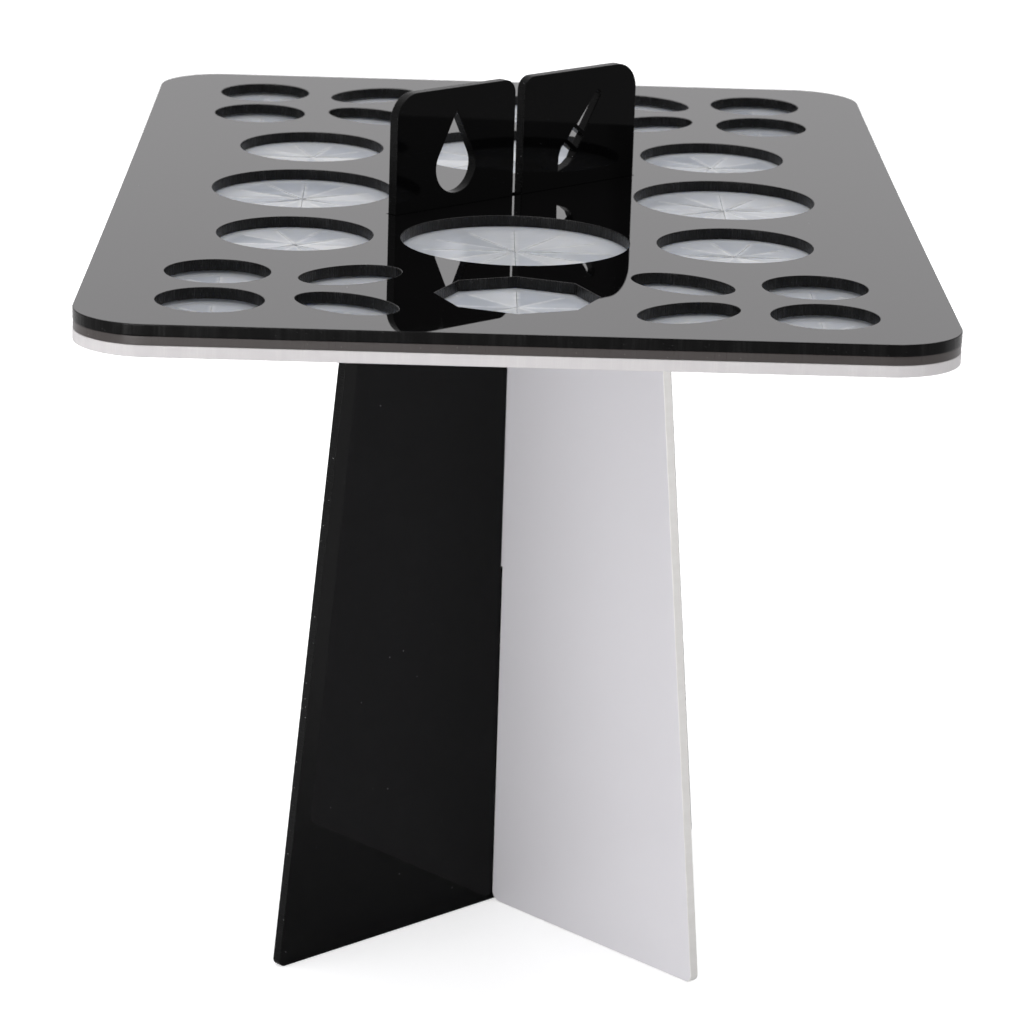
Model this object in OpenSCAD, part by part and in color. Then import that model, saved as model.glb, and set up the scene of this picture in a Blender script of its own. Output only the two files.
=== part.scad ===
// Knock-down rack that dries and holds brushes head-down: a layered tray on two crossed leg panels.
// Millimetres, +Z up. Origin: on the floor, under the middle of the crossed panels.
// The tray's width lies along X and its depth along Y.

/* [Tray] */
// Width of the tray, left to right
tray_w = 135; // [132:1:150]
// Depth of the tray, front to back
tray_d = 204.4; // [202:0.2:216]
// Corner radius of the tray
tray_r = 12; // [6:1:16]
// Height of the tray's top face above the floor
tray_h = 130.2; // [110:0.2:160]

/* [Sheets] */
// Thickness of every rigid acrylic sheet, nominally 2 mm
sheet_t = 1.85; // [1.6:0.05:2]
// Thickness of the soft gripping membrane
membrane_t = 1.4; // [1:0.1:2]
// Total clearance between a slot and the sheet in it
slot_gap = 0.25; // [0.2:0.05:0.4]

/* [Brush holes] */
// Radius of the outer small round holes
small_r = 8.4; // [7:0.1:8.8]
// Half length of the small oval holes
oval_half_l = 9.2; // [8:0.1:9.6]
// Half width of the small oval holes
oval_half_w = 6; // [5:0.1:6.5]
// Tilt of the oval holes from the tray's width
oval_tilt = 39.5; // [30:0.5:45]
// Radius of the medium holes
medium_r = 12.9; // [11:0.1:13.4]
// Radius of the large side holes
large_r = 15.6; // [13:0.1:16]
// Radius of the two centre holes
centre_r = 18.8; // [16:0.1:19]
// Radius of the eight-sided holes, to their corners
octagon_r = 12.9; // [10:0.1:13.5]

/* [Hole layout] */
// Sideways offset of the outer small holes
small_x = 47.1; // [46.5:0.1:48.5]
// Sideways offset of the oval holes
oval_x = 26.2; // [25.5:0.1:27]
// Sideways offset of the medium holes
medium_x = 36.2; // [35.5:0.1:37]
// Sideways offset of the large holes
large_x = 36.4; // [36:0.1:38]
// Distance from the middle to the outermost rows of small and oval holes
outer_row = 84.7; // [83:0.1:86]
// Distance from the middle to the second rows of small and oval holes
second_row = 64.9; // [64:0.1:66]
// Distance from the middle to the rows of medium holes
medium_row = 35.7; // [35:0.1:37]

/* [Leg panels] */
// Angle of the black panel from the tray's width; the white one crosses it squarely
leg_angle = 43; // [40:0.5:45]
// Half width of a leg panel at the floor
foot_half = 51.4; // [44:0.2:54]
// Corner radius at a leg panel's feet
foot_r = 1.2; // [0.5:0.1:3]
// Half width of a leg panel under the tray
shoulder_half = 36.4; // [31:0.2:37]
// Height at which the two half-laps meet
lap_h = 63; // [50:0.2:75]
// Half width of the tab above the tray
tab_half = 28.2; // [27:0.1:29]
// Height of the tab above the tray
tab_h = 20.4; // [19.8:0.2:24]
// Outer corner radius of the tab
tab_r = 4.6; // [3:0.1:6]
// Corner radius of the tab beside its slit
slit_r = 2.4; // [1:0.1:3]

/* [Hidden] */
$fn = 96;
SIDES = [-1, 1];
over = 1;                         // how far a shape runs past the edge it cuts or joins

under = tray_h - 2 * sheet_t - membrane_t;  // underside of the tray
slot_w = sheet_t + slot_gap;
slot_l = 2 * tab_half + 0.5;      // the tab's width plus its clearance
slit_cut = 0.16;                  // width of one cut in the membrane
oval_points = 48;
centre_row = medium_row + 0.6;
octagon_row = (outer_row + second_row) / 2 + 1;

lap_gap = 0.2;                    // each half-lap runs this far past lap_h
mouth_r = 1.8;                    // rounding at the mouth of the white panel's slot
mouth_over = 0.5;                 // how far that rounding's waste runs into the slot

// Cut-outs in the tab: places are along the panel and above the floor
drop_place = [-14.6, tray_h + 6.8];
drop_w = 9;
drop_h = 14.2;
drop_angle = 28;                  // where the point's flanks leave the round end
brush_place = [14.2, tray_h + 9.2];
brush_tilt = -36;
brush_scale = 0.94;
brush_shift = -0.7;

// Hole kinds, each the index of its row in KINDS
SMALL = 0;
OVAL = 1;
MEDIUM = 2;
LARGE = 3;
CENTRE = 4;
OCTAGON = 5;

// [radius, number of membrane cuts, reach of the cuts as a part of the radius]
KINDS = [
    [small_r, 4, 0.86],
    [oval_half_l, 3, 0.6],
    [medium_r, 5, 0.86],
    [large_r, 6, 0.86],
    [centre_r, 6, 0.86],
    [octagon_r, 4, 0.86]];

// [y, direction of tilt on the +X side]
OVAL_ROWS = [[-outer_row, 1], [-second_row, -1], [second_row, 1], [outer_row, -1]];

// [x, y, kind, tilt]
HOLES = concat(
    [for (side = SIDES, row = OVAL_ROWS) [side * small_x, row[0], SMALL, 0]],
    [for (row = OVAL_ROWS, side = SIDES)
        [side * oval_x, row[0], OVAL, side * row[1] * oval_tilt]],
    [for (side = SIDES, end = SIDES) [side * medium_x, end * medium_row, MEDIUM, 0]],
    [for (side = SIDES) [side * large_x, 0, LARGE, 0]],
    [for (end = SIDES) [0, end * centre_row, CENTRE, 0]],
    [for (end = SIDES) [0, end * octagon_row, OCTAGON, 0]]);

// A rectangle with true round corners, centred
module round_rect(width, depth, radius) {
    square([width - 2 * radius, depth], center = true);
    square([width, depth - 2 * radius], center = true);
    for (x = SIDES, y = SIDES)
        translate([x * (width / 2 - radius), y * (depth / 2 - radius)]) circle(radius);
}

// The sharp bit left outside a rounded corner at [x, y]; out_x and out_y (1 or -1) point
// out of the sheet, and side_over is how far the waste runs out along x
module corner_waste(x, y, radius, out_x, out_y = 1, side_over = over) {
    translate([x, y]) difference() {
        translate([out_x > 0 ? -radius : -side_over, out_y > 0 ? -radius : -over])
            square([radius + side_over, radius + over]);
        translate([-out_x * radius, -out_y * radius]) circle(radius);
    }
}

module hole(spec) {
    kind = spec[2];
    translate([spec[0], spec[1]])
        if (kind == OVAL)
            rotate(spec[3]) polygon([
                for (i = [0:oval_points - 1])
                    let (angle = i * 360 / oval_points)
                        [oval_half_l * cos(angle), oval_half_w * sin(angle)]]);
        else if (kind == OCTAGON)
            circle(octagon_r, $fn = 8);
        else
            circle(KINDS[kind][0]);
}

// Star of straight cuts that opens the membrane under one hole
module star(spec) {
    kind = KINDS[spec[2]];
    cuts = kind[1];
    translate([spec[0], spec[1]])
        for (i = [0:cuts - 1])
            rotate(spec[3] + i * 180 / cuts)
                square([2 * kind[2] * kind[0], slit_cut], center = true);
}

// One layer of the tray, less the tab's slot and the cuts given as children
module tray_layer(thickness) {
    linear_extrude(thickness) difference() {
        round_rect(tray_w, tray_d, tray_r);
        children();
        rotate(leg_angle) square([slot_l, slot_w], center = true);
    }
}

module plate() {
    tray_layer(sheet_t) for (spec = HOLES) hole(spec);
}

module top_plate() {
    color([0.03, 0.03, 0.035]) translate([0, 0, tray_h - sheet_t]) plate();
}

module membrane() {
    color([0.8, 0.84, 0.9, 0.6]) translate([0, 0, under + sheet_t])
        tray_layer(membrane_t) for (spec = HOLES) star(spec);
}

module bottom_plate() {
    color([0.93, 0.93, 0.91]) translate([0, 0, under]) plate();
}

// Drop-shaped cut-out, point up
module drop_cut() {
    radius = drop_w / 2;
    flank_x = radius * cos(drop_angle);
    flank_y = radius * sin(drop_angle);
    circle(radius);
    polygon([[-flank_x, flank_y], [0, drop_h - radius], [flank_x, flank_y]]);
}

// Brush-shaped cut-out in three stencil pieces, tip down
module brush_cut() {
    // Tapered handle with a round end
    end_r = 0.75;
    end_y = 9.2;
    polygon([[-end_r, end_y], [end_r, end_y], [1.15, 2], [-1.15, 2]]);
    translate([0, end_y]) circle(end_r);
    // Collar
    translate([-1.6, -1.4]) square([3.2, 2.6]);
    // Pointed head
    polygon([
        [-1.8, -2.3], [1.8, -2.3], [2, -3.6], [1.5, -5.2],
        [0, -7.4], [-1.5, -5.2], [-2, -3.6]]);
}

// Side view of a leg panel: x along the panel, y up
module leg_outline() {
    lean = atan((foot_half - shoulder_half) / under);
    foot = [foot_half - foot_r * (1 + sin(lean)) / cos(lean), foot_r];
    // Where the foot's rounding meets the sloping edge
    tangent = foot + foot_r * [cos(lean), sin(lean)];
    for (side = SIDES) translate([side * foot[0], foot[1]]) circle(foot_r);
    polygon([
        [-foot[0], 0], [foot[0], 0], tangent,
        [shoulder_half, under], [-shoulder_half, under], [-tangent[0], tangent[1]]]);
}

// Stands a side view up, centred on the panel's own plane
module stand(angle) {
    rotate([0, 0, angle]) rotate([90, 0, 0])
        linear_extrude(sheet_t, center = true) children();
}

// Panel with the tab, slit from the top down
module black_panel() {
    top = tray_h + tab_h;
    color([0.04, 0.04, 0.045]) stand(leg_angle) difference() {
        union() {
            leg_outline();
            translate([-tab_half, under - over]) square([2 * tab_half, top - under + over]);
        }
        translate([-slot_w / 2, lap_h - lap_gap]) square([slot_w, top]);
        for (side = SIDES) {
            corner_waste(side * tab_half, top, tab_r, side);
            corner_waste(side * slot_w / 2, top, slit_r, -side);
        }
        translate(drop_place) drop_cut();
        translate(brush_place) rotate(brush_tilt) translate([0, brush_shift])
            scale(brush_scale) brush_cut();
    }
}

// Panel without a tab, slotted from the floor up
module white_panel() {
    color([0.9, 0.91, 0.93]) stand(leg_angle - 90) difference() {
        leg_outline();
        translate([-slot_w / 2, -over]) square([slot_w, lap_h + lap_gap + over]);
        for (side = SIDES)
            corner_waste(side * slot_w / 2, 0, mouth_r, -side, -1, mouth_over);
    }
}

top_plate();
membrane();
bottom_plate();
black_panel();
white_panel();
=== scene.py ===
"""A small tray on two crossed leg panels.

The tray lies flat, long side along Y: a gloss black sheet, a silicone film and a gloss white
sheet share one outline and a slanting slot. The film is cut into flaps under every hole. The legs
stand upright on the floor (z = 0); the black one rises through the slot as a tab. The front is -Y.
Sizes are in mm; meshes, lights and camera are in metres.
"""

import math
import random
from collections import namedtuple

import bpy
import numpy as np
from mathutils import Matrix, Vector
from mathutils.geometry import delaunay_2d_cdt


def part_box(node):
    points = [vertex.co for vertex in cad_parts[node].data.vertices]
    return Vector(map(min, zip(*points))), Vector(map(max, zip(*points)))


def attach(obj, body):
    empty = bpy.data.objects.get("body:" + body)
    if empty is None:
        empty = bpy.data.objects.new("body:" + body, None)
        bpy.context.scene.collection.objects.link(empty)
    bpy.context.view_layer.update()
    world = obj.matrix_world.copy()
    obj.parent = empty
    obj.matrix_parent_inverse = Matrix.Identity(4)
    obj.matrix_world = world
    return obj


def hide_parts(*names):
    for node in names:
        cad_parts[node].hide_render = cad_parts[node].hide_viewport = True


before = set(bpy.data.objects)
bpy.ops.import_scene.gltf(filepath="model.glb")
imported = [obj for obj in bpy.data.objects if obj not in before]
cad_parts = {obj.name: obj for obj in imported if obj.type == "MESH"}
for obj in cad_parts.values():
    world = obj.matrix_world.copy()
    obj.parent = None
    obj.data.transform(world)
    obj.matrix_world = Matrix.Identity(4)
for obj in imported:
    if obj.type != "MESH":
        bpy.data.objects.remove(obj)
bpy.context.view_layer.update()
MM = 0.001

# ---------------------------------------------------------------- sizes, in mm
top_lo, top_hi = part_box("top_plate")
bottom_lo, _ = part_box("bottom_plate")
film_lo, film_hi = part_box("membrane")
_, black_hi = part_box("black_panel")

TRAY_W = (top_hi.x - top_lo.x) / MM
TRAY_D = (top_hi.y - top_lo.y) / MM
TRAY_R = 12.0
SHEET = (top_hi.z - top_lo.z) / MM      # thickness of every rigid sheet
Z_TOP = top_hi.z / MM                   # top of the tray
Z_UNDER = bottom_lo.z / MM              # underside of the tray
Z_TAB = black_hi.z / MM                 # top of the black leg's tab
BOW = 0.6                               # the tray's front and back ends curl up by this much

GAP = 0.25                              # clearance in the slot and slits
SLOT_W = SHEET + GAP
LEG_ANGLE = math.radians(43)            # black leg and tray slot, from +X
FOOT = 51.4                             # half width of a leg at the floor
SHOULDER = 36.4                         # half width of a leg under the tray
FOOT_R = 1.2
TAB = 28.2                              # half width of the tab
TAB_R = 4.6
LAP = 63.0                              # height at which the two legs' slits meet
LAP_GAP = 0.2                           # each slit runs this far past it
BLACK_SLIT_R = 2.4                      # rounding at the mouth of each slit
WHITE_SLIT_R = 1.8

FILM_INSET = 0.05                       # the film's edge lies this far inside the tray's
BOW_STEP = 4.0                          # longest run of outline on a bowed sheet
BOW_GRID = 6.0                          # spacing of the points inside a bowed sheet
BEVEL_STEPS = 3
FILLET_STEPS = 12

# radius (half length for the oval, to the corners for the octagon),
# points in the outline, cuts across the film
HoleKind = namedtuple("HoleKind", "radius points cuts")
KINDS = {
    "small": HoleKind(8.4, 96, 4),
    "oval": HoleKind(9.2, 96, 3),
    "medium": HoleKind(12.9, 128, 5),
    "large": HoleKind(15.6, 144, 6),
    "centre": HoleKind(18.8, 160, 6),
    "octagon": HoleKind(12.9, 8, 4),
}
OVAL_HALF_WIDTH = 6.0
OVAL_TILT = 39.5                        # degrees
ROW_END, ROW_NEXT, ROW_INNER = 84.7, 64.9, 35.7     # y of the rows, from the ends inwards
SMALL_X, OVAL_X, MEDIUM_X, LARGE_X = 47.1, 26.2, 36.2, 36.4

Hole = namedtuple("Hole", "x y kind tilt")
HOLES = []
for side in (-1, 1):
    for y in (-ROW_END, -ROW_NEXT, ROW_NEXT, ROW_END):
        HOLES.append(Hole(side * SMALL_X, y, "small", 0.0))
    for y, turn in ((-ROW_END, 1), (-ROW_NEXT, -1), (ROW_NEXT, 1), (ROW_END, -1)):
        HOLES.append(Hole(side * OVAL_X, y, "oval", turn * side * OVAL_TILT))
    for y in (-ROW_INNER, ROW_INNER):
        HOLES.append(Hole(side * MEDIUM_X, y, "medium", 0.0))
    HOLES.append(Hole(side * LARGE_X, 0.0, "large", 0.0))
for side in (-1, 1):
    HOLES.append(Hole(0.0, side * (ROW_INNER + 0.6), "centre", 0.0))
    HOLES.append(Hole(0.0, side * ((ROW_END + ROW_NEXT) / 2 + 1), "octagon", 0.0))


# ---------------------------------------------------------------- outlines
# Outer outlines run counter-clockwise and holes clockwise, so the solid is always on the left.
def arc(cx, cy, radius, start, end, steps):
    angles = [start + (end - start) * i / steps for i in range(steps + 1)]
    return [(cx + radius * math.cos(a), cy + radius * math.sin(a)) for a in angles]


def rotated(x, y, angle):
    c, s = math.cos(angle), math.sin(angle)
    return x * c - y * s, x * s + y * c


def round_rect(width, depth, radius, steps=22):
    cx, cy = width / 2 - radius, depth / 2 - radius
    points = []
    for x, y, start in ((cx, cy, 0), (-cx, cy, 90), (-cx, -cy, 180), (cx, -cy, 270)):
        points += arc(x, y, radius, math.radians(start), math.radians(start + 90), steps)
    return points


def split(loop, step):
    """The same closed outline with no run longer than step."""
    out = []
    for i, (x, y) in enumerate(loop):
        x2, y2 = loop[(i + 1) % len(loop)]
        n = max(1, math.ceil(math.hypot(x2 - x, y2 - y) / step))
        out += [(x + (x2 - x) * k / n, y + (y2 - y) * k / n) for k in range(n)]
    return out


def hole_ring(hole, count, grow=0.0):
    """Points counter-clockwise round a hole whose edge is moved outwards by grow."""
    radius = KINDS[hole.kind].radius
    out = []
    for i in range(count):
        a = 2 * math.pi * i / count
        if hole.kind == "oval":
            x, y = radius * math.cos(a), OVAL_HALF_WIDTH * math.sin(a)
            nx, ny = math.cos(a) / radius, math.sin(a) / OVAL_HALF_WIDTH
            k = grow / math.hypot(nx, ny)
            x, y = rotated(x + nx * k, y + ny * k, math.radians(hole.tilt))
        else:
            r = radius + grow
            if hole.kind == "octagon":
                past_corner = (a + 1e-9) % (math.pi / 4)
                flat = radius * math.cos(math.pi / 8) + grow
                r = flat / math.cos(past_corner - math.pi / 8)
            x, y = r * math.cos(a), r * math.sin(a)
        out.append((hole.x + x, hole.y + y))
    return out


def hole_loop(hole):
    return hole_ring(hole, KINDS[hole.kind].points)[::-1]


def slot_loop():
    length, width = TAB + GAP, SLOT_W / 2
    corners = ((-length, -width), (-length, width), (length, width), (length, -width))
    return [rotated(x, y, LEG_ANGLE) for x, y in corners]


def fillet(corner, before, after, radius):
    """Points that round a corner between its two neighbours."""
    corner, before, after = (np.array(q, float) for q in (corner, before, after))
    u = (before - corner) / np.linalg.norm(before - corner)
    v = (after - corner) / np.linalg.norm(after - corner)
    half = math.acos(max(-1, min(1, float(u @ v)))) / 2
    reach = radius / math.tan(half)
    middle = (u + v) / np.linalg.norm(u + v)
    centre = corner + middle * (radius / math.sin(half))
    first, last = corner + u * reach - centre, corner + v * reach - centre
    start = math.atan2(first[1], first[0])
    end = math.atan2(last[1], last[0])
    sweep = (end - start + math.pi) % (2 * math.pi) - math.pi
    angles = [start + sweep * i / FILLET_STEPS for i in range(FILLET_STEPS + 1)]
    return [tuple(centre + radius * np.array([math.cos(a), math.sin(a)])) for a in angles]


def rounded(points):
    """The outline through (x, y, radius) points, with its corners rounded."""
    out = []
    for i, (x, y, radius) in enumerate(points):
        if radius:
            after = points[(i + 1) % len(points)]
            out += fillet((x, y), points[i - 1][:2], after[:2], radius)
        else:
            out.append((x, y))
    return out


def inset(loop, distance):
    """The loop moved into the solid."""
    p = np.array(loop, float)
    edge = np.roll(p, -1, 0) - p
    edge /= np.linalg.norm(edge, axis=1)[:, None]
    normal = np.c_[-edge[:, 1], edge[:, 0]]     # left of the edge that starts here
    mitre = normal + np.roll(normal, 1, 0)
    mitre /= np.maximum((mitre * normal).sum(1), 0.3)[:, None]
    return p + mitre * distance


def turning(loop):
    """How far the outline turns at each point, in radians."""
    p = np.array(loop, float)
    edge = np.roll(p, -1, 0) - p
    a = np.arctan2(edge[:, 1], edge[:, 0])
    return np.abs((a - np.roll(a, 1) + np.pi) % (2 * np.pi) - np.pi)


def in_material(points, loops):
    """True for each point that lies inside exactly one of the loops."""
    x, y = points[:, 0:1], points[:, 1:2]
    count = np.zeros(len(points), int)
    for loop in loops:
        q = np.array(loop, float)
        x0, y0 = q[:, 0], q[:, 1]
        x1, y1 = np.roll(x0, -1), np.roll(y0, -1)
        rise = np.where(y1 == y0, 1e-12, y1 - y0)
        crossed = ((y0 > y) != (y1 > y)) & (x < (x1 - x0) * (y - y0) / rise + x0)
        count += crossed.sum(1) % 2
    return count == 1


def free_points(loops, step):
    """A staggered grid of points in the material, clear of every loop."""
    edge = np.concatenate([np.array(loop, float) for loop in loops])
    lo, hi = edge.min(0), edge.max(0)
    clear = []
    for j in range(int((hi[1] - lo[1]) / step)):
        for i in range(int((hi[0] - lo[0]) / step)):
            q = lo + step * np.array([i + 0.5 + 0.25 * (j % 2), j + 0.5])
            if np.min(((edge - q) ** 2).sum(1)) >= (step * 0.45) ** 2:
                clear.append(q)
    clear = np.array(clear)
    return [(float(x), float(y)) for x, y in clear[in_material(clear, loops)]]


# ---------------------------------------------------------------- mesh builder
class Build:
    """Collects one mesh, given in mm. A rim is a pair: a loop and its vertex numbers."""

    def __init__(self):
        self.verts, self.faces, self.slots, self.smooth, self.uvs = [], [], [], [], []
        self.sharp = set()

    def vert(self, x, y, z):
        self.verts.append((x * MM, y * MM, z * MM))
        return len(self.verts) - 1

    def face(self, ids, slot=0, smooth=False, uv=None):
        self.faces.append(tuple(ids))
        self.slots.append(slot)
        self.smooth.append(smooth)
        self.uvs.append(uv or [(self.verts[i][0] / MM, self.verts[i][1] / MM) for i in ids])

    def crease(self, a, b):
        self.sharp.add(frozenset((a, b)))

    def walls(self, loop, z0, z1, bevel, slot):
        """A cut edge with rounded corners; returns its bottom and top rims."""
        angles = [math.pi / 2 * i / BEVEL_STEPS for i in range(BEVEL_STEPS + 1)]
        curve = [(bevel * (1 - math.sin(a)), bevel * (1 - math.cos(a))) for a in angles]
        profile = [(depth, z0 + rise) for depth, rise in curve]
        profile += [(0.0, z0 + bevel * 2.2), (0.0, z1 - bevel * 2.2)]
        profile += [(depth, z1 - rise) for depth, rise in curve[::-1]]
        rings = []
        for depth, z in profile:
            ring = inset(loop, depth) if depth > 0 else np.array(loop, float)
            rings.append((ring, [self.vert(x, y, z) for x, y in ring], z))

        p = np.array(loop, float)
        along = np.r_[0, np.cumsum(np.linalg.norm(np.roll(p, -1, 0) - p, axis=1))]
        corner = turning(loop) > math.radians(17)
        for (_, low, z_low), (_, high, z_high) in zip(rings, rings[1:]):
            for i in range(len(loop)):
                j = (i + 1) % len(loop)
                uv = [(along[i], z_low), (along[i + 1], z_low),
                      (along[i + 1], z_high), (along[i], z_high)]
                self.face((low[i], low[j], high[j], high[i]), slot, True, uv)
                if corner[i]:
                    self.crease(low[i], high[i])
        return rings[0][:2], rings[-1][:2]

    def fill(self, rims, up, z=0.0, free=(), smooth=False):
        """Triangles between the rims, and through the free points at height z."""
        points, edges, ids = [], [], []
        for loop, loop_ids in rims:
            k, n = len(points), len(loop)
            points += [Vector((float(x), float(y))) for x, y in loop]
            ids += list(loop_ids)
            edges += [(k + i, k + (i + 1) % n) for i in range(n)]
        points += [Vector(q) for q in free]
        ids += [self.vert(x, y, z) for x, y in free]

        result = delaunay_2d_cdt(points, edges, [], 1, 1e-7)
        co, faces, origins = result[0], result[2], result[3]
        vertex = [ids[origin[0]] if origin else None for origin in origins]
        centres = np.array([sum((co[i] for i in f), Vector((0, 0))) / len(f) for f in faces],
                           float)
        for f, solid in zip(faces, in_material(centres, [loop for loop, _ in rims])):
            if not solid or any(vertex[i] is None for i in f):
                continue
            a, b, c = [co[i] for i in f]
            counter_clockwise = (b - a).cross(c - a) > 0
            corners = [vertex[i] for i in f]
            self.face(corners if counter_clockwise == up else corners[::-1], 0, smooth)

    def make(self, name, materials, matrix=None, bow=0.0):
        mesh = bpy.data.meshes.new(name)
        if bow:
            self.verts = [(x, y, z + bow * MM * (y / MM / (TRAY_D / 2)) ** 2)
                          for x, y, z in self.verts]
        mesh.from_pydata(self.verts, [], self.faces)
        mesh.polygons.foreach_set("material_index", self.slots)
        mesh.polygons.foreach_set("use_smooth", self.smooth)
        layer = mesh.uv_layers.new(name="sheet")
        for corner, uv in zip(layer.data, [c for face_uv in self.uvs for c in face_uv]):
            corner.uv = uv
        if self.sharp:
            sharp_edge = mesh.attributes.new("sharp_edge", "BOOLEAN", "EDGE")
            for edge in mesh.edges:
                if frozenset(edge.vertices) in self.sharp:
                    sharp_edge.data[edge.index].value = True
        for material in materials:
            mesh.materials.append(material)
        if matrix is not None:
            mesh.transform(matrix)
        mesh.validate(verbose=False)
        mesh.update()
        return link(name, mesh)


def link(name, data):
    obj = bpy.data.objects.new(name, data)
    bpy.context.scene.collection.objects.link(obj)
    return obj


def sheet(name, loops, z0, z1, materials, bevel, matrix=None, bow=0.0):
    """A flat sheet: loops[0] is its outline, the others are holes.

    The materials are those of the face, the cut edge and, if given, the holes' walls.
    """
    build = Build()
    if bow:
        loops = [split(loop, BOW_STEP) for loop in loops]
    low, high = [], []
    for k, loop in enumerate(loops):
        slot = 2 if k and len(materials) > 2 else 1
        low_rim, high_rim = build.walls(loop, z0, z1, bevel, slot)
        low.append(low_rim)
        high.append(high_rim)
    free = free_points([loop for loop, _ in high], BOW_GRID) if bow else []
    build.fill(high, True, z1, free, smooth=bool(bow))
    build.fill(low, False, z0, free, smooth=bool(bow))
    if bow:     # the faces are smooth, so their rims need a crease
        for _, ids in low + high:
            for i, v in enumerate(ids):
                build.crease(v, ids[i - 1])
    return build.make(name, materials, matrix, bow)


# ---------------------------------------------------------------- shader nodes
class Shader:
    """Adds nodes to a tree. Any input may be given a value or another node's output."""

    def __init__(self, tree):
        self.tree = tree

    def put(self, socket, value):
        if isinstance(value, bpy.types.NodeSocket):
            self.tree.links.new(value, socket)
        else:
            socket.default_value = value

    def node(self, kind, inputs=None, **settings):
        node = self.tree.nodes.new(kind)
        for key, value in settings.items():
            setattr(node, key, value)
        self.set(node, inputs or {})
        return node

    def set(self, node, inputs):
        for key, value in inputs.items():
            self.put(node.inputs[key], value)

    def coords(self, kind="Object"):
        return self.node("ShaderNodeTexCoord").outputs[kind]

    def scaled(self, vector, scale):
        return self.node("ShaderNodeMapping", {"Scale": scale, "Vector": vector}).outputs[0]

    def separate(self, vector):
        return self.node("ShaderNodeSeparateXYZ", {0: vector}).outputs

    def noise(self, vector, scale, detail=4.0, rough=0.55, distortion=0.0):
        return self.node("ShaderNodeTexNoise", {
            "Scale": scale, "Detail": detail, "Roughness": rough,
            "Distortion": distortion, "Vector": vector}).outputs["Fac"]

    def remap(self, value, low, high, to_low=0.0, to_high=1.0):
        return self.node("ShaderNodeMapRange", {
            "From Min": low, "From Max": high, "To Min": to_low, "To Max": to_high,
            "Value": value}).outputs[0]

    def mix(self, factor, a, b):
        """Colour a where the factor is 0 and b where it is 1."""
        a, b = ((*c, 1) if isinstance(c, tuple) else c for c in (a, b))
        return self.node("ShaderNodeMix", {0: factor, 6: a, 7: b}, data_type="RGBA").outputs[2]

    def math(self, operation, a, b):
        return self.node("ShaderNodeMath", {0: a, 1: b}, operation=operation).outputs[0]

    def add(self, a, b):
        return self.math("ADD", a, b)

    def times(self, a, b):
        return self.math("MULTIPLY", a, b)

    def bump(self, height, strength, distance, normal=None):
        inputs = {"Strength": strength, "Distance": distance, "Height": height}
        if normal is not None:
            inputs["Normal"] = normal
        return self.node("ShaderNodeBump", inputs).outputs[0]

    def specks(self, vector, scale, size, threshold=0.86):
        """1 in sparse small dots, 0 elsewhere; a higher threshold leaves fewer dots."""
        cells = self.node("ShaderNodeTexVoronoi", {
            "Scale": scale, "Randomness": 1.0, "Vector": vector}, feature="F1")
        near = self.math("LESS_THAN", cells.outputs["Distance"], size)
        color = self.node("ShaderNodeSeparateColor", {0: cells.outputs["Color"]})
        return self.times(near, self.math("GREATER_THAN", color.outputs[0], threshold))


def new_material(name):
    """Returns the material, its Shader, the Principled node and the output node."""
    material = bpy.data.materials.new(name)
    material.use_nodes = True
    material.node_tree.nodes.clear()
    sh = Shader(material.node_tree)
    output = sh.node("ShaderNodeOutputMaterial")
    surface = sh.node("ShaderNodeBsdfPrincipled")
    sh.put(output.inputs[0], surface.outputs[0])
    return material, sh, surface, output


# ---------------------------------------------------------------- materials
def acrylic_face(name, color, rough, specular, dust=(0.30, 0.30, 0.31), dust_size=0.035,
                 vary=0.06, top_specular=None, painted_shade_color=None):
    """Polished acrylic with dust.

    vary is the spread of the tint. With the painted shade colour, the colour changes to it from
    the floor up to the tray, as painted shade under the tray; with top_specular, the gloss changes
    to it through the tray's thickness.
    """
    material, sh, surface, _ = new_material(name)
    place = sh.coords()
    tint = sh.mix(sh.remap(sh.noise(place, 35.0, detail=3.0), 0.35, 0.65),
                  tuple(c * (1 - vary) for c in color),
                  tuple(min(1, c * (1 + vary)) for c in color))
    # painted shade: from the floor up to the tray the tint turns to the shade colour, standing in
    # for the tray's shadow
    if painted_shade_color is not None:
        height = sh.separate(place)[2]
        tint = sh.mix(sh.remap(height, 0.0, Z_UNDER * MM), tint, painted_shade_color)
    dots = sh.specks(place, scale=420.0, size=dust_size)
    # fine wiping hairlines and faint smudges in the polish
    hair = sh.noise(sh.scaled(place, (900, 60, 900)), 1.0, detail=2.0, rough=0.5,
                    distortion=0.4)
    smudge = sh.noise(place, 22.0, detail=5.0, rough=0.6, distortion=0.6)
    polish = sh.add(sh.remap(smudge, 0.45, 0.8, rough, rough + 0.035),
                    sh.remap(hair, 0.62, 0.8, 0.0, 0.03))
    waves = sh.bump(sh.noise(place, 9.0, detail=1.0, rough=0.3), strength=0.02, distance=0.002)
    sh.set(surface, {
        "Base Color": sh.mix(sh.times(dots, 0.6), tint, dust),
        "Roughness": sh.add(polish, sh.times(dots, 0.3)),
        "IOR": 1.49,
        "Specular IOR Level": specular,
        "Normal": sh.bump(dots, strength=0.15, distance=0.0001, normal=waves),
    })
    if top_specular is not None:
        height = sh.separate(place)[2]
        sh.put(surface.inputs["Specular IOR Level"],
               sh.remap(height, Z_UNDER * MM, Z_TOP * MM, specular, top_specular))
    return material


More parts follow.
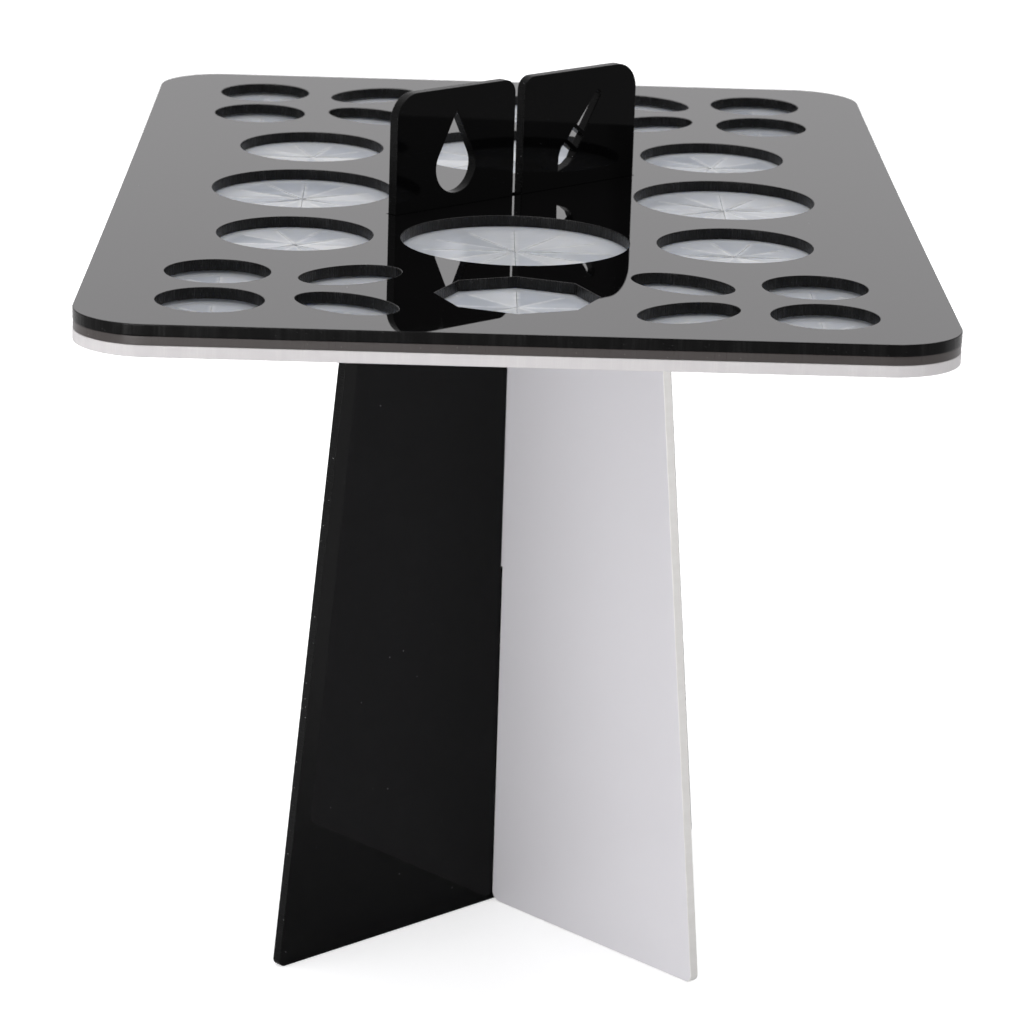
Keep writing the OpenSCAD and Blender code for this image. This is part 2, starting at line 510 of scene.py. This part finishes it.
def cut_edge(name, color, streak, rough, specular, relief=0.25, fleck=(0.6, 0.6, 0.6),
             fleck_mix=0.5, glint=0.0):
    """A cut edge: fine lines across the thickness, with flecks.

    relief is the bump strength of the lines and glint the gloss they add.
    """
    material, sh, surface, _ = new_material(name)
    uv = sh.coords("UV")
    fine = sh.noise(sh.scaled(uv, (7.0, 0.12, 1)), 1.0, detail=3.0, rough=0.7)
    wide = sh.noise(sh.scaled(uv, (0.55, 0.05, 1)), 1.0, detail=2.0, rough=0.5)
    lines = sh.times(sh.remap(fine, 0.40, 0.66), sh.remap(wide, 0.42, 0.62))
    dots = sh.specks(sh.scaled(uv, (1, 1, 1)), scale=2.2, size=0.16, threshold=0.92)
    height = sh.add(sh.times(fine, 0.7), wide)
    sh.set(surface, {
        "Base Color": sh.mix(sh.times(dots, fleck_mix), sh.mix(lines, color, streak), fleck),
        "Roughness": sh.remap(fine, 0.3, 0.7, rough, rough + 0.14),
        "IOR": 1.49,
        "Specular IOR Level": specular,
        "Normal": sh.bump(height, strength=relief, distance=0.0002),
    })
    if glint:
        sh.put(surface.inputs["Specular IOR Level"], sh.add(sh.times(lines, glint), specular))
    return material


def silicone_face():
    """Milky film. Its UV holds the distance from the nearest cut in mm, and the flap's tone."""
    material, sh, surface, output = new_material("silicone_film")
    place = sh.coords()
    uv = sh.separate(sh.coords("UV"))
    from_cut, flap_tone = uv[0], uv[1]
    cloud = sh.noise(place, 60.0, detail=5.0, rough=0.6, distortion=0.5)
    tone = sh.add(sh.times(flap_tone, 0.75), sh.remap(cloud, 0.3, 0.7, 0.0, 0.25))
    base = sh.mix(tone, (0.485, 0.515, 0.565), (0.79, 0.80, 0.815))
    # light gathers raggedly along the cuts
    ragged = sh.remap(sh.noise(place, 700.0, detail=2.0), 0.3, 0.7, 0.25, 1.0)
    glow = sh.times(sh.remap(from_cut, 0.05, 0.75, 1.0, 0.0), ragged)
    base = sh.mix(sh.times(glow, 0.66), base, (0.96, 0.97, 0.98))
    dots = sh.specks(place, scale=330.0, size=0.07, threshold=0.92)
    fine = sh.noise(place, 900.0, detail=3.0, rough=0.6)
    wave = sh.noise(place, 110.0, detail=3.0, rough=0.5, distortion=0.8)
    ripples = sh.bump(wave, strength=0.25, distance=0.0006)
    normal = sh.bump(fine, strength=0.08, distance=0.00008, normal=ripples)
    sh.set(surface, {
        "Base Color": sh.mix(sh.times(dots, 0.9), base, (0.97, 0.97, 0.98)),
        "Roughness": sh.remap(wave, 0.3, 0.75, 0.10, 0.24),
        "IOR": 1.42,
        "Specular IOR Level": 0.6,
        "Subsurface Weight": 0.35,
        "Subsurface Radius": (0.002, 0.0022, 0.0028),
        "Subsurface Scale": 0.8,
        "Normal": normal,
    })
    through = sh.node("ShaderNodeBsdfTranslucent", {0: base, 1: normal})
    blend = sh.node("ShaderNodeMixShader", {
        0: 0.32, 1: surface.outputs[0], 2: through.outputs[0]})
    sh.put(output.inputs[0], blend.outputs[0])
    return material


black_face = acrylic_face("gloss_black_face", color=(0.0015, 0.0014, 0.0015), rough=0.010,
                          specular=0.5)
black_cut = cut_edge("gloss_black_cut", color=(0.0008, 0.0007, 0.0007),
                     streak=(0.0016, 0.0014, 0.0014), rough=0.14, specular=0.09,
                     relief=0.12, fleck=(0.3, 0.3, 0.3), fleck_mix=0.10, glint=0.10)
# partly painted reflection: the striations are the cut's real texture, but here they are painted
# far lighter than on the outer cut edge, standing in for the reflections they catch
hole_wall = cut_edge("hole_wall_cut", color=(0.0032, 0.003, 0.003),
                     streak=(0.019, 0.0185, 0.019), rough=0.2, specular=0.26,
                     relief=0.3, fleck=(0.25, 0.25, 0.25), fleck_mix=0.2)
black_leg_face = acrylic_face("leg_black_face", color=(0.0020, 0.0020, 0.0021), rough=0.03,
                              specular=0.12, top_specular=0.045)
black_leg_cut = cut_edge("leg_black_cut", color=(0.0022, 0.0022, 0.0022),
                         streak=(0.006, 0.006, 0.006), rough=0.18, specular=0.10, relief=0.15)
white_face = acrylic_face("gloss_white_face", color=(0.80, 0.80, 0.79), rough=0.07,
                          specular=0.4, dust=(0.6, 0.6, 0.6), dust_size=0.03, vary=0.012)
# painted shade: the tray's white cut edge is painted darker than the same acrylic's edge on the
# leg, to offset the light of the front lamp
white_cut = cut_edge("gloss_white_cut", color=(0.57, 0.55, 0.555), streak=(0.62, 0.605, 0.60),
                     rough=0.3, specular=0.3, relief=0.3, fleck=(0.50, 0.46, 0.44),
                     fleck_mix=0.25)
# painted shade: the white leg's colour darkens towards the tray, standing in for the tray's shadow
# on it
white_leg_face = acrylic_face("leg_white_face", color=(0.785, 0.77, 0.80), rough=0.09,
                              specular=0.35, dust=(0.55, 0.55, 0.56), dust_size=0.03,
                              vary=0.008, painted_shade_color=(0.63, 0.618, 0.645))
white_leg_cut = cut_edge("leg_white_cut", color=(0.80, 0.785, 0.76), streak=(0.86, 0.85, 0.83),
                         rough=0.3, specular=0.3, relief=0.3, fleck=(0.6, 0.56, 0.52),
                         fleck_mix=0.25)
film_face = silicone_face()
film_cut = cut_edge("silicone_cut", color=(0.044, 0.037, 0.035), streak=(0.050, 0.043, 0.041),
                    rough=0.26, specular=0.36, relief=0.03, fleck=(0.45, 0.42, 0.4),
                    fleck_mix=0.25)

# ---------------------------------------------------------------- the tray's rigid sheets
tray_loops = [round_rect(TRAY_W, TRAY_D, TRAY_R)] + [hole_loop(h) for h in HOLES] + [slot_loop()]
top = sheet("tray_top_sheet", tray_loops, Z_TOP - SHEET, Z_TOP,
            [black_face, black_cut, hole_wall], bevel=0.10, bow=BOW)
bottom = sheet("tray_bottom_sheet", tray_loops, Z_UNDER, Z_UNDER + SHEET,
               [white_face, white_cut], bevel=0.12, bow=BOW)

# ---------------------------------------------------------------- the film
FILM_Z0, FILM_Z1 = film_lo.z / MM, film_hi.z / MM
RIM_GROW = 0.7              # each hole's part of the film starts this far outside the hole
BAND_UV = (5, 0.5)          # far from any cut, middle tone
FLAP_ROOT_UV = (2.0, 0.5)
CUT_UVS = [(0, 1)] * 4      # on the cut
CUT_HALF_GAP = 0.055
FLAP_ROWS = (0.12, 0.26, 0.4, 0.54, 0.67, 0.79, 0.89, 0.96)    # from root to tip, tip = 1


def film_strip(build, outer, inner, i, j, outer_uv, inner_uv):
    """Upper and lower faces between two rows; a row is (lower ids, upper ids)."""
    (outer_low, outer_high), (inner_low, inner_high) = outer, inner
    build.face((outer_high[i], outer_high[j], inner_high[j], inner_high[i]), 0, True,
               [outer_uv[i], outer_uv[j], inner_uv[j], inner_uv[i]])
    build.face((outer_low[j], outer_low[i], inner_low[i], inner_low[j]), 0, True,
               [outer_uv[j], outer_uv[i], inner_uv[i], inner_uv[j]])


def film_row(build, points, dz=0.0):
    return ([build.vert(x, y, FILM_Z0 + dz) for x, y in points],
            [build.vert(x, y, FILM_Z1 + dz) for x, y in points])


def film_flap(build, rnd, centre, spokes, root, flaps, reach, drop, size):
    """One flap, from its root row to its tip. spokes run from the hole's centre to its rim."""
    lift = rnd.uniform(-0.010, 0.012) * size
    twist = rnd.uniform(-0.005, 0.005) * size
    cup = rnd.uniform(0.0, 0.004) * size
    tone = rnd.random()
    last = len(spokes) - 1
    outer, outer_uv = root, [FLAP_ROOT_UV] * len(spokes)
    for rho in [reach * (1 - row) for row in FLAP_ROWS]:
        t = 1 - rho / reach
        low, high = [], []
        for c, spoke in enumerate(spokes):
            w = c / last - 0.5
            across = np.array([-spoke[1], spoke[0]]) / np.linalg.norm(spoke)
            gap = CUT_HALF_GAP * min(1.0, t * 4) * (1 if w < 0 else -1) * (abs(w) * 2) ** 6
            x, y = centre + spoke * rho + across * gap
            dz = (-drop + lift * t ** 1.6 + twist * w * 2 * t
                  + cup * (4 * w * w - 1) * t * rho * 4)
            low.append(build.vert(x, y, FILM_Z0 + dz))
            high.append(build.vert(x, y, FILM_Z1 + dz))
        inner = (low, high)
        inner_uv = [((0.5 - abs(c / last - 0.5)) * 2 * math.pi / flaps * size * rho, tone)
                    for c in range(last + 1)]
        for c in range(last):
            film_strip(build, outer, inner, c, c + 1, outer_uv, inner_uv)
        outer_low, outer_high = outer
        build.face((outer_high[0], high[0], low[0], outer_low[0]), uv=CUT_UVS)
        build.face((high[last], outer_high[last], outer_low[last], low[last]), uv=CUT_UVS)
        for c in (0, last):
            build.crease(outer_high[c], high[c])
            build.crease(outer_low[c], low[c])
        outer, outer_uv = inner, inner_uv
    low, high = outer
    for c in range(last):
        build.face((high[c], high[c + 1], low[c + 1], low[c]), uv=CUT_UVS)
        build.crease(high[c], high[c + 1])
        build.crease(low[c], low[c + 1])


def film_hole(build, rnd, hole):
    """The film under one hole: an intact band, then the flaps. Returns its two rims."""
    flaps = KINDS[hole.kind].cuts * 2
    per_flap = 10 if flaps >= 10 else 12
    total = flaps * per_flap
    reach = 0.72 if hole.kind == "oval" else 0.86       # the cuts end here, as a part of the rim
    drop = 0.75 if hole.kind in ("small", "oval") else 0.12     # how far the film dishes down
    ring = np.array(hole_ring(hole, total, RIM_GROW), float)
    centre = np.array([hole.x, hole.y])
    rim = film_row(build, ring)
    band_uv = [BAND_UV] * total
    outer = rim
    for rho in (0.95, reach + 0.02, reach):
        dz = -drop * ((1 - rho) / (1 - reach)) ** 0.6
        inner = film_row(build, centre + (ring - centre) * rho, dz)
        for i in range(total):
            film_strip(build, outer, inner, i, (i + 1) % total, band_uv, band_uv)
        outer = inner
    size = float(np.mean(np.linalg.norm(ring - centre, axis=1)))
    for flap in range(flaps):
        idx = [(flap * per_flap + i) % total for i in range(per_flap + 1)]
        root = tuple([ids[i] for i in idx] for ids in outer)
        film_flap(build, rnd, centre, [ring[i] - centre for i in idx], root, flaps, reach, drop,
                  size)
    return (ring, rim[0]), (ring, rim[1])


def make_film():
    rnd = random.Random(11)
    build = Build()
    outline = round_rect(TRAY_W - 2 * FILM_INSET, TRAY_D - 2 * FILM_INSET, TRAY_R - FILM_INSET)
    rims = [build.walls(split(loop, BOW_STEP), FILM_Z0, FILM_Z1, 0.08, 1)
            for loop in (outline, slot_loop())]
    rims += [film_hole(build, rnd, hole) for hole in HOLES]
    build.fill([high for _, high in rims], True)
    build.fill([low for low, _ in rims], False)
    return build.make("tray_membrane", [film_face, film_cut], bow=BOW)


film = make_film()


# ---------------------------------------------------------------- leg panels
# Each is drawn in x (across) and y (height above the floor), then stood upright.
def stand(angle):
    return Matrix.Rotation(angle, 4, "Z") @ Matrix.Rotation(math.pi / 2, 4, "X")


def drop_loop(x, y, width, height):
    """A teardrop, point up; x, y is the centre of its round part."""
    r = width / 2
    shoulder = math.radians(28)
    points = arc(0, 0, r, math.pi - shoulder, 2 * math.pi + shoulder, 40) + [(0, height - r)]
    return [(x + px, y + py) for px, py in points][::-1]


def brush_loops(x, y, degrees, scale):
    """A brush in three cut-outs, tip down before it is turned."""
    handle = [(-1.15, 2), (1.15, 2)] + arc(0, 9.2, 0.75, 0, math.pi, 10)
    ferrule = [(-1.6, -1.4), (1.6, -1.4), (1.6, 1.2), (-1.6, 1.2)]
    tip = [(-1.8, -2.3), (-2, -3.6), (-1.5, -5.2), (0, -7.4),
           (1.5, -5.2), (2, -3.6), (1.8, -2.3)]
    out = []
    for part in (handle, ferrule, tip):
        turned = [rotated(px * scale, py * scale - 0.7, math.radians(degrees))
                  for px, py in part]
        out.append([(x + px, y + py) for px, py in turned][::-1])
    return out


SLIT = SLOT_W / 2
black_outline = rounded([
    # x, y, corner radius
    (-FOOT, 0, FOOT_R), (FOOT, 0, FOOT_R),
    (SHOULDER, Z_UNDER, 0), (TAB, Z_UNDER, 0), (TAB, Z_TAB, TAB_R),
    (SLIT, Z_TAB, BLACK_SLIT_R), (SLIT, LAP - LAP_GAP, 0),
    (-SLIT, LAP - LAP_GAP, 0), (-SLIT, Z_TAB, BLACK_SLIT_R),
    (-TAB, Z_TAB, TAB_R), (-TAB, Z_UNDER, 0), (-SHOULDER, Z_UNDER, 0)])
white_outline = rounded([
    (-FOOT, 0, FOOT_R),
    (-SLIT, 0, WHITE_SLIT_R), (-SLIT, LAP + LAP_GAP, 0),
    (SLIT, LAP + LAP_GAP, 0), (SLIT, 0, WHITE_SLIT_R),
    (FOOT, 0, FOOT_R), (SHOULDER, Z_UNDER, 0), (-SHOULDER, Z_UNDER, 0)])
black_loops = [black_outline, drop_loop(-14.6, Z_TOP + 6.8, width=9, height=14.2)]
black_loops += brush_loops(14.2, Z_TOP + 9.2, degrees=-36, scale=0.94)

black_leg = sheet("leg_black_sheet", black_loops, -SHEET / 2, SHEET / 2,
                  [black_leg_face, black_leg_cut], bevel=0.10, matrix=stand(LEG_ANGLE))
white_leg = sheet("leg_white_sheet", [white_outline], -SHEET / 2, SHEET / 2,
                  [white_leg_face, white_leg_cut], bevel=0.12,
                  matrix=stand(LEG_ANGLE - math.pi / 2))

for obj, body, node, slot in (
        (top, "tray", "top_plate", "gloss_black"),
        (film, "tray", "membrane", "clear_silicone"),
        (bottom, "tray", "bottom_plate", "gloss_white"),
        (black_leg, "black_leg", "black_panel", "gloss_black_leg"),
        (white_leg, "white_leg", "white_panel", "gloss_white_leg")):
    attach(obj, body)
    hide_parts(node)


# ---------------------------------------------------------------- floor and world
def make_floor():
    half = 30.0
    mesh = bpy.data.meshes.new("floor")
    mesh.from_pydata([(-half, -half, 0), (half, -half, 0), (half, half, 0), (-half, half, 0)],
                     [], [(0, 1, 2, 3)])
    obj = link("floor", mesh)
    obj.location = (0, -0.09, 0)        # also the point the lens is focused on
    material, sh, surface, _ = new_material("pale_floor")
    # the floor glows for the camera only, so it looks paler than the light it returns
    seen = sh.node("ShaderNodeLightPath").outputs["Is Camera Ray"]
    sh.set(surface, {
        "Base Color": sh.mix(sh.noise(sh.coords(), 3.0, detail=2.0),
                             (0.86, 0.86, 0.86), (0.88, 0.88, 0.88)),
        "Roughness": 0.9,
        "Specular IOR Level": 0.1,
        "Emission Color": (1, 1, 1, 1),
        "Emission Strength": sh.times(seen, 0.60),
    })
    mesh.materials.append(material)
    return obj


def make_world():
    """Dim in front, bright behind."""
    world = bpy.data.worlds.new("studio")
    bpy.context.scene.world = world
    world.use_nodes = True
    sh = Shader(world.node_tree)
    depth = sh.separate(sh.coords("Generated"))[1]
    backness = sh.remap(depth, -0.5, 0.5)
    background = world.node_tree.nodes["Background"]
    sh.set(background, {0: sh.mix(backness, (0.25, 0.25, 0.26), (0.82, 0.81, 0.82)), 1: 1.0})


floor = make_floor()
make_world()


# ---------------------------------------------------------------- lights, in metres and watts
def area_light(name, location, target, size, watts):
    light = bpy.data.lights.new(name, "AREA")
    light.shape = "RECTANGLE"
    light.size, light.size_y = size
    light.energy = watts
    obj = link(name, light)
    obj.location = location
    aim = Vector(target) - Vector(location)
    obj.rotation_euler = aim.to_track_quat("-Z", "Y").to_euler()


area_light("front_low", location=(-0.45, -1.1, 0.04), target=(0, 0, 0.04), size=(0.6, 0.3),
           watts=8.5)
area_light("top_box", location=(0, 0.1, 1.5), target=(0, 0, 0.1), size=(1.6, 1.6), watts=16)
area_light("left_box", location=(-1.5, -0.7, 0.6), target=(0, 0, 0.08), size=(1.0, 1.2),
           watts=5)
area_light("right_box", location=(1.5, -0.5, 0.6), target=(0, 0, 0.08), size=(1.0, 1.2),
           watts=2)


# ---------------------------------------------------------------- camera
def view_rotation(yaw, pitch, roll):
    """Looking along +Y, turned right by yaw, down by pitch, then rolled; in degrees."""
    yaw, pitch, roll = (math.radians(a) for a in (yaw, pitch, roll))
    forward = Vector((math.sin(yaw) * math.cos(pitch), math.cos(yaw) * math.cos(pitch),
                      -math.sin(pitch)))
    right = Vector((math.cos(yaw), -math.sin(yaw), 0))
    up = right.cross(forward)
    c, s = math.cos(roll), math.sin(roll)
    return Matrix((c * right + s * up, -s * right + c * up, -forward)).transposed().to_4x4()


def make_camera():
    camera = bpy.data.cameras.new("camera")
    camera.sensor_width = 36
    camera.lens = 143.9454164
    camera.clip_start, camera.clip_end = 0.05, 50
    obj = link("camera", camera)
    above_tray = 0.148014       # over the raised ends of the tray
    place = (-0.010017, -0.6936165, above_tray + (Z_TOP + BOW) * MM)
    obj.matrix_world = Matrix.Translation(place) @ view_rotation(
        yaw=0.95, pitch=16.531, roll=1.807)
    camera.dof.use_dof = True
    camera.dof.focus_object = floor
    camera.dof.aperture_fstop = 75
    bpy.context.scene.camera = obj


make_camera()
bpy.context.scene.view_settings.view_transform = "Standard"
bpy.context.scene.view_settings.look = "None"
